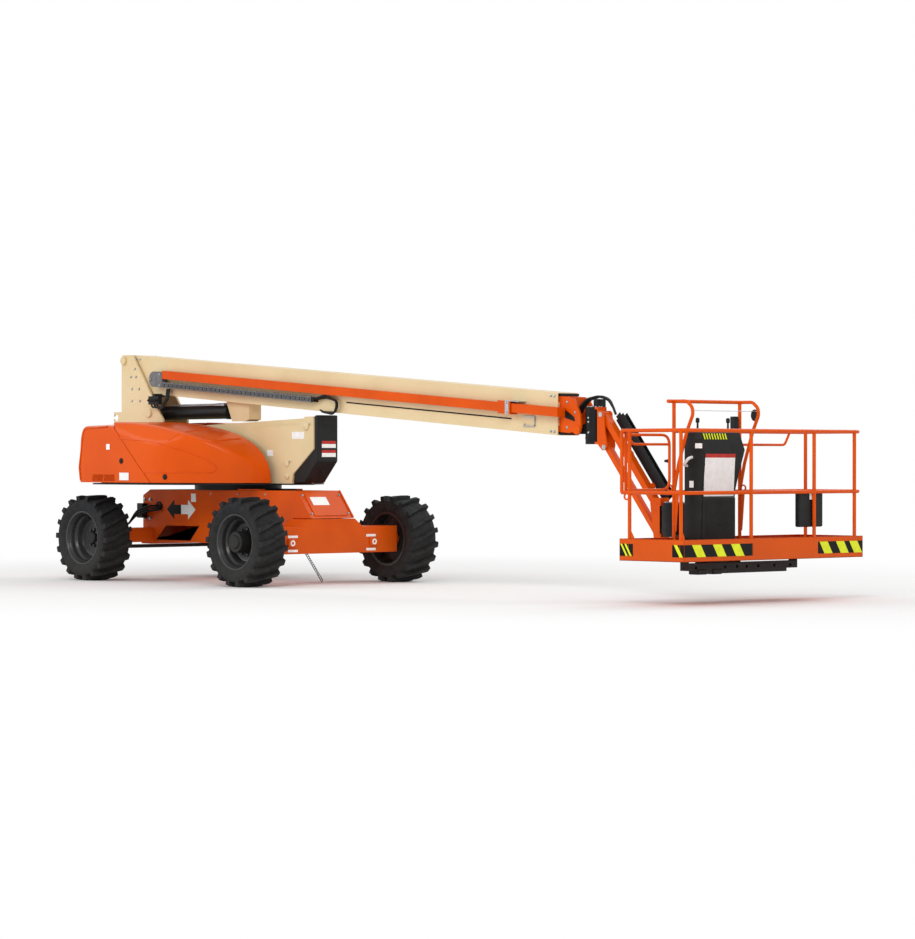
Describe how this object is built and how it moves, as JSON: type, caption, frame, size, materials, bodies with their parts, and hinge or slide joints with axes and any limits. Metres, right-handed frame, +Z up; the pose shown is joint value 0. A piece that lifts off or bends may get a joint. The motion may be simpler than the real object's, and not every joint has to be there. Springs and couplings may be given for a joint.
{
  "type": "articulated telescopic boom lift",
  "caption": "Wheeled boom lift: slewing turntable with a parallel-link tower, telescopic upper boom, swinging jib and a railed work platform.",
  "frame": {"origin": "middle of the whole machine's footprint box, on the ground", "axes": "+X towards the work platform, +Y to the machine's left, +Z up"},
  "size_m": [9.543, 2.436, 2.447],
  "materials": {
    "orange_paint": "gloss",
    "beige_paint": "gloss",
    "black_paint": "satin",
    "rim_grey": "satin",
    "tyre_rubber": "matte",
    "chrome_rod": "polished",
    "chain_plastic": "matte",
    "console_plastic": "matte",
    "hood_shell": "gloss"
  },
  "bodies": {
    "chassis": {"chassis_frame": "orange_paint", "drive_axle": "orange_paint", "steer_axle": "orange_paint", "slew_ring": "black_paint"},
    "knuckle_left": {"knuckle_left": "black_paint"},
    "knuckle_right": {"knuckle_right": "black_paint"},
    "tie_rod": {"tie_rod": "black_paint"},
    "wheel_drive_left": {"tyre_drive_left": "tyre_rubber", "rim_drive_left": "rim_grey"},
    "wheel_drive_right": {"tyre_drive_right": "tyre_rubber", "rim_drive_right": "rim_grey"},
    "wheel_steer_left": {"tyre_steer_left": "tyre_rubber", "rim_steer_left": "rim_grey"},
    "wheel_steer_right": {"tyre_steer_right": "tyre_rubber", "rim_steer_right": "rim_grey"},
    "turntable": {"turntable": "beige_paint", "front_cover": "console_plastic", "tail_left": "hood_shell", "tail_right": "hood_shell", "counterweight": "black_paint", "engine": "black_paint"},
    "hood_left": {"hood_left": "hood_shell"},
    "hood_right": {"hood_right": "hood_shell"},
    "tower_boom": {"tower_boom": "beige_paint"},
    "timing_link": {"timing_link": "beige_paint"},
    "tower_barrel": {"tower_cylinder_barrel": "black_paint"},
    "tower_rod": {"tower_cylinder_rod": "chrome_rod"},
    "upright": {"upright": "beige_paint"},
    "main_boom": {"main_boom": "beige_paint", "energy_chain": "chain_plastic"},
    "lift_barrel": {"lift_cylinder_barrel": "black_paint"},
    "lift_rod": {"lift_cylinder_rod": "chrome_rod"},
    "fly_boom": {"fly_boom": "orange_paint", "side_tube": "orange_paint"},
    "level_head": {"level_head": "black_paint"},
    "jib_yoke": {"jib_yoke": "black_paint"},
    "jib_arm": {"jib_arm": "orange_paint"},
    "jib_link": {"jib_link": "orange_paint"},
    "jib_barrel": {"jib_cylinder_barrel": "black_paint"},
    "jib_rod": {"jib_cylinder_rod": "chrome_rod"},
    "platform_bracket": {"platform_bracket": "orange_paint"},
    "platform": {"platform": "orange_paint", "platform_support": "black_paint", "console": "console_plastic"},
    "gate": {"gate": "orange_paint"}
  },
  "joints": [
    {"name": "steer_left", "type": "hinge", "parent": "chassis", "child": "knuckle_left", "pos_m": [-3.9965, 0.8, 0.457], "axis": [0, 0, 1], "range_deg": [-35, 35]},
    {"name": "steer_right", "type": "hinge", "parent": "chassis", "child": "knuckle_right", "pos_m": [-3.9965, -0.8, 0.457], "axis": [0, 0, 1], "range_deg": [-35, 35]},
    {"name": "tie_rod_shift", "type": "slide", "parent": "chassis", "child": "tie_rod", "axis": [0, 1, 0], "range_m": [-0.0985, 0.0985]},
    {"name": "wheel_drive_left_spin", "type": "hinge", "parent": "chassis", "child": "wheel_drive_left", "pos_m": [-1.4265, 1.037, 0.457], "axis": [0, 1, 0], "continuous": true},
    {"name": "wheel_drive_right_spin", "type": "hinge", "parent": "chassis", "child": "wheel_drive_right", "pos_m": [-1.4265, -1.037, 0.457], "axis": [0, 1, 0], "continuous": true},
    {"name": "wheel_steer_left_spin", "type": "hinge", "parent": "knuckle_left", "child": "wheel_steer_left", "pos_m": [-3.9965, 1.037, 0.457], "axis": [0, 1, 0], "continuous": true},
    {"name": "wheel_steer_right_spin", "type": "hinge", "parent": "knuckle_right", "child": "wheel_steer_right", "pos_m": [-3.9965, -1.037, 0.457], "axis": [0, 1, 0], "continuous": true},
    {"name": "slew", "type": "hinge", "parent": "chassis", "child": "turntable", "pos_m": [-2.8215, 0, 1.025], "axis": [0, 0, 1], "range_deg": [-200, 200]},
    {"name": "hood_left", "type": "hinge", "parent": "turntable", "child": "hood_left", "pos_m": [-3.0115, 0.235, 1.61], "axis": [1, 0, 0], "range_deg": [0, 60]},
    {"name": "hood_right", "type": "hinge", "parent": "turntable", "child": "hood_right", "pos_m": [-3.0115, -0.235, 1.61], "axis": [-1, 0, 0], "range_deg": [0, 60]},
    {"name": "tower_lift", "type": "hinge", "parent": "turntable", "child": "tower_boom", "pos_m": [-1.5315, 0, 1.64], "axis": [0, 1, 0], "range_deg": [0, 65]},
    {"name": "upright_level", "type": "hinge", "parent": "tower_boom", "child": "upright", "pos_m": [-4.2815, 0, 1.54], "axis": [0, 1, 0], "range_deg": [-65, 0]},
    {"name": "timing_link_swing", "type": "hinge", "parent": "turntable", "child": "timing_link", "pos_m": [-1.8415, 0, 1.25], "axis": [0, 1, 0], "range_deg": [0, 65]},
    {"name": "tower_barrel_swing", "type": "hinge", "parent": "turntable", "child": "tower_barrel", "pos_m": [-1.8315, 0, 1.12], "axis": [0, 1, 0], "range_deg": [0, 53.92]},
    {"name": "tower_rod_stroke", "type": "slide", "parent": "tower_barrel", "child": "tower_rod", "axis": [-0.9162, 0, 0.4008], "range_m": [0, 0.60666]},
    {"name": "main_lift", "type": "hinge", "parent": "upright", "child": "main_boom", "pos_m": [-4.5845, 0, 2.385], "axis": [0, -1, 0], "range_deg": [0, 78]},
    {"name": "lift_barrel_swing", "type": "hinge", "parent": "upright", "child": "lift_barrel", "pos_m": [-4.1315, 0, 1.802], "axis": [0, -1, 0], "range_deg": [0, 77.47]},
    {"name": "lift_rod_stroke", "type": "slide", "parent": "lift_barrel", "child": "lift_rod", "axis": [1, 0, 0.0029], "range_m": [0, 0.92912]},
    {"name": "telescope", "type": "slide", "parent": "main_boom", "child": "fly_boom", "axis": [0.997, 0, -0.0776], "range_m": [0, 4.5]},
    {"name": "head_level", "type": "hinge", "parent": "fly_boom", "child": "level_head", "pos_m": [2.3735, 0, 1.575], "axis": [0, -1, 0], "range_deg": [-78, 0]},
    {"name": "jib_swing", "type": "hinge", "parent": "level_head", "child": "jib_yoke", "pos_m": [2.4935, 0, 1.6], "axis": [0, 0, 1], "range_deg": [-90, 90]},
    {"name": "jib_lift", "type": "hinge", "parent": "jib_yoke", "child": "jib_arm", "pos_m": [2.6335, 0, 1.72], "axis": [0, -1, 0], "range_deg": [-9.7, 135.3]},
    {"name": "jib_link_swing", "type": "hinge", "parent": "jib_yoke", "child": "jib_link", "pos_m": [2.6785, 0, 1.41], "axis": [0, -1, 0], "range_deg": [-9.7, 135.3]},
    {"name": "bracket_level", "type": "hinge", "parent": "jib_arm", "child": "platform_bracket", "pos_m": [3.30876, 0, 0.87714], "axis": [0, -1, 0], "range_deg": [-135.3, 9.7]},
    {"name": "jib_barrel_swing", "type": "hinge", "parent": "jib_yoke", "child": "jib_barrel", "pos_m": [2.6505, 0.09, 1.572], "axis": [0, -1, 0], "range_deg": [-9.16, 127.75]},
    {"name": "jib_rod_stroke", "type": "slide", "parent": "jib_barrel", "child": "jib_rod", "axis": [0.7304, 0, -0.6831], "range_m": [-0.01929, 0.26778]},
    {"name": "platform_rotate", "type": "hinge", "parent": "platform_bracket", "child": "platform", "pos_m": [3.5235, 0, 0.735], "axis": [0, 0, 1], "range_deg": [-90, 90]},
    {"name": "gate", "type": "hinge", "parent": "platform", "child": "gate", "pos_m": [4.0035, -1.15, 1.26], "axis": [0, 0, -1], "range_deg": [0, 90]}
  ],
  "couplings": [
    {"joint": "steer_right", "follows": "steer_left", "ratio": 1},
    {"joint": "tie_rod_shift", "follows": "steer_left", "m_per_rad": -0.1596},
    {"joint": "upright_level", "follows": "tower_lift", "ratio": -1},
    {"joint": "timing_link_swing", "follows": "tower_lift", "ratio": 1},
    {"joint": "tower_barrel_swing", "follows": "tower_lift", "ratio": 0.8296},
    {"joint": "tower_rod_stroke", "follows": "tower_lift", "m_per_rad": 0.53476},
    {"joint": "lift_barrel_swing", "follows": "main_lift", "ratio": 0.99327},
    {"joint": "lift_rod_stroke", "follows": "main_lift", "m_per_rad": 0.68249},
    {"joint": "head_level", "follows": "main_lift", "ratio": -1},
    {"joint": "jib_link_swing", "follows": "jib_lift", "ratio": 1},
    {"joint": "bracket_level", "follows": "jib_lift", "ratio": -1},
    {"joint": "jib_barrel_swing", "follows": "jib_lift", "ratio": 0.94418},
    {"joint": "jib_rod_stroke", "follows": "jib_lift", "m_per_rad": 0.11336}
  ]
}
